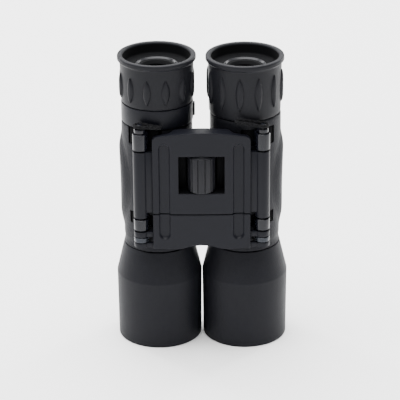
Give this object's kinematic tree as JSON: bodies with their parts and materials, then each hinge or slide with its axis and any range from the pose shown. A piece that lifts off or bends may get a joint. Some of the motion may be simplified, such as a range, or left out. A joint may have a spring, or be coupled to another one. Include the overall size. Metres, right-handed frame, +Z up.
{
  "type": "folding binoculars",
  "caption": "Compact double-hinge roof-prism binoculars with rubber armour, a bridge with a focus wheel, a dioptre ring, soft eyecups and barrels that fold together.",
  "frame": {"origin": "on the ground under the middle of the bounding box, between the two objective rims", "axes": "+Z up to the eyepieces, -Y to the side with the bridge plates and focus wheel, +X to the user's left barrel"},
  "size_m": [0.081, 0.0447, 0.1418],
  "materials": {
    "armour_rubber": "matte fine-grained rubber",
    "eyecup_rubber": "matte soft rubber",
    "wheel_rubber": "satin rubber with flat lands",
    "satin_cover": "satin black, finely textured",
    "black_metal": "black anodised",
    "inner_moulding": "matte black",
    "steel": "polished",
    "brass": "machined",
    "lens_glass": "coated optical glass",
    "cord": "braided black cord"
  },
  "bodies": {
    "bridge": {"upper_plate": "satin_cover", "back_cover": "satin_cover", "back_cover_screw_1": "steel", "back_cover_screw_2": "steel", "back_cover_screw_3": "steel", "back_cover_screw_4": "steel", "hinge_pin_left": "black_metal", "hinge_pin_right": "black_metal", "strap_loop_left": "cord", "strap_loop_right": "cord"},
    "focus_slide": {"focus_plate": "satin_cover", "focus_nut": "brass", "focus_pin_left": "steel", "focus_pin_right": "steel"},
    "focus_wheel": {"focus_spindle": "steel", "focus_wheel_hub": "black_metal", "focus_wheel_sleeve": "wheel_rubber"},
    "dioptre_ring": {"dioptre_ring": "satin_cover"},
    "barrel_left": {"barrel_tube_left": "black_metal", "body_armour_left": "armour_rubber", "objective_armour_left": "armour_rubber", "objective_housing_left": "black_metal", "prism_cage_left": "inner_moulding", "half_penta_prism_left": "lens_glass", "roof_prism_left": "lens_glass", "ocular_tube_left": "black_metal", "eye_lens_left": "lens_glass", "eye_retainer_left": "black_metal", "field_lens_left": "lens_glass", "field_stop_left": "inner_moulding", "eyecup_left": "eyecup_rubber"},
    "carriage_left": {"objective_carriage_left": "black_metal", "objective_lens_left": "lens_glass", "objective_retainer_left": "black_metal"},
    "barrel_right": {"barrel_tube_right": "black_metal", "body_armour_right": "armour_rubber", "objective_armour_right": "armour_rubber", "objective_housing_right": "black_metal", "prism_cage_right": "inner_moulding", "half_penta_prism_right": "lens_glass", "roof_prism_right": "lens_glass"},
    "eyepiece_right": {"ocular_tube_right": "black_metal", "eye_lens_right": "lens_glass", "eye_retainer_right": "black_metal", "field_lens_right": "lens_glass", "field_stop_right": "inner_moulding", "eyecup_right": "eyecup_rubber"},
    "carriage_right": {"objective_carriage_right": "black_metal", "objective_lens_right": "lens_glass", "objective_retainer_right": "black_metal"}
  },
  "joints": [
    {"name": "fold_left", "type": "hinge", "parent": "bridge", "child": "barrel_left", "pos_m": [0.02817, -0.01635, 0.08], "axis": [0, 0, -1], "range_deg": [0, 45]},
    {"name": "fold_right", "type": "hinge", "parent": "bridge", "child": "barrel_right", "pos_m": [-0.02817, -0.01635, 0.08], "axis": [0, 0, 1], "range_deg": [0, 45]},
    {"name": "focus_turn", "type": "hinge", "parent": "bridge", "child": "focus_wheel", "pos_m": [0, -0.01595, 0.09], "axis": [0, 0, 1], "range_deg": [0, 300]},
    {"name": "focus_travel", "type": "slide", "parent": "bridge", "child": "focus_slide", "axis": [0, 0, -1], "range_m": [0, 0.003]},
    {"name": "carriage_travel_left", "type": "slide", "parent": "barrel_left", "child": "carriage_left", "axis": [0, 0, -1], "range_m": [0, 0.0031]},
    {"name": "carriage_travel_right", "type": "slide", "parent": "barrel_right", "child": "carriage_right", "axis": [0, 0, -1], "range_m": [0, 0.0031]},
    {"name": "dioptre_turn", "type": "hinge", "parent": "barrel_right", "child": "dioptre_ring", "pos_m": [-0.02032, 0.00215, 0.115], "axis": [0, 0, 1], "range_deg": [0, 90]},
    {"name": "eyepiece_travel", "type": "slide", "parent": "barrel_right", "child": "eyepiece_right", "axis": [0, 0, 1], "range_m": [0, 0.002]}
  ],
  "couplings": [
    {"joint": "focus_turn", "follows": "focus_travel", "rad_per_m": 1745},
    {"joint": "carriage_travel_left", "follows": "focus_travel", "ratio": 1},
    {"joint": "carriage_travel_right", "follows": "focus_travel", "ratio": 1},
    {"joint": "dioptre_turn", "follows": "eyepiece_travel", "rad_per_m": 785}
  ]
}
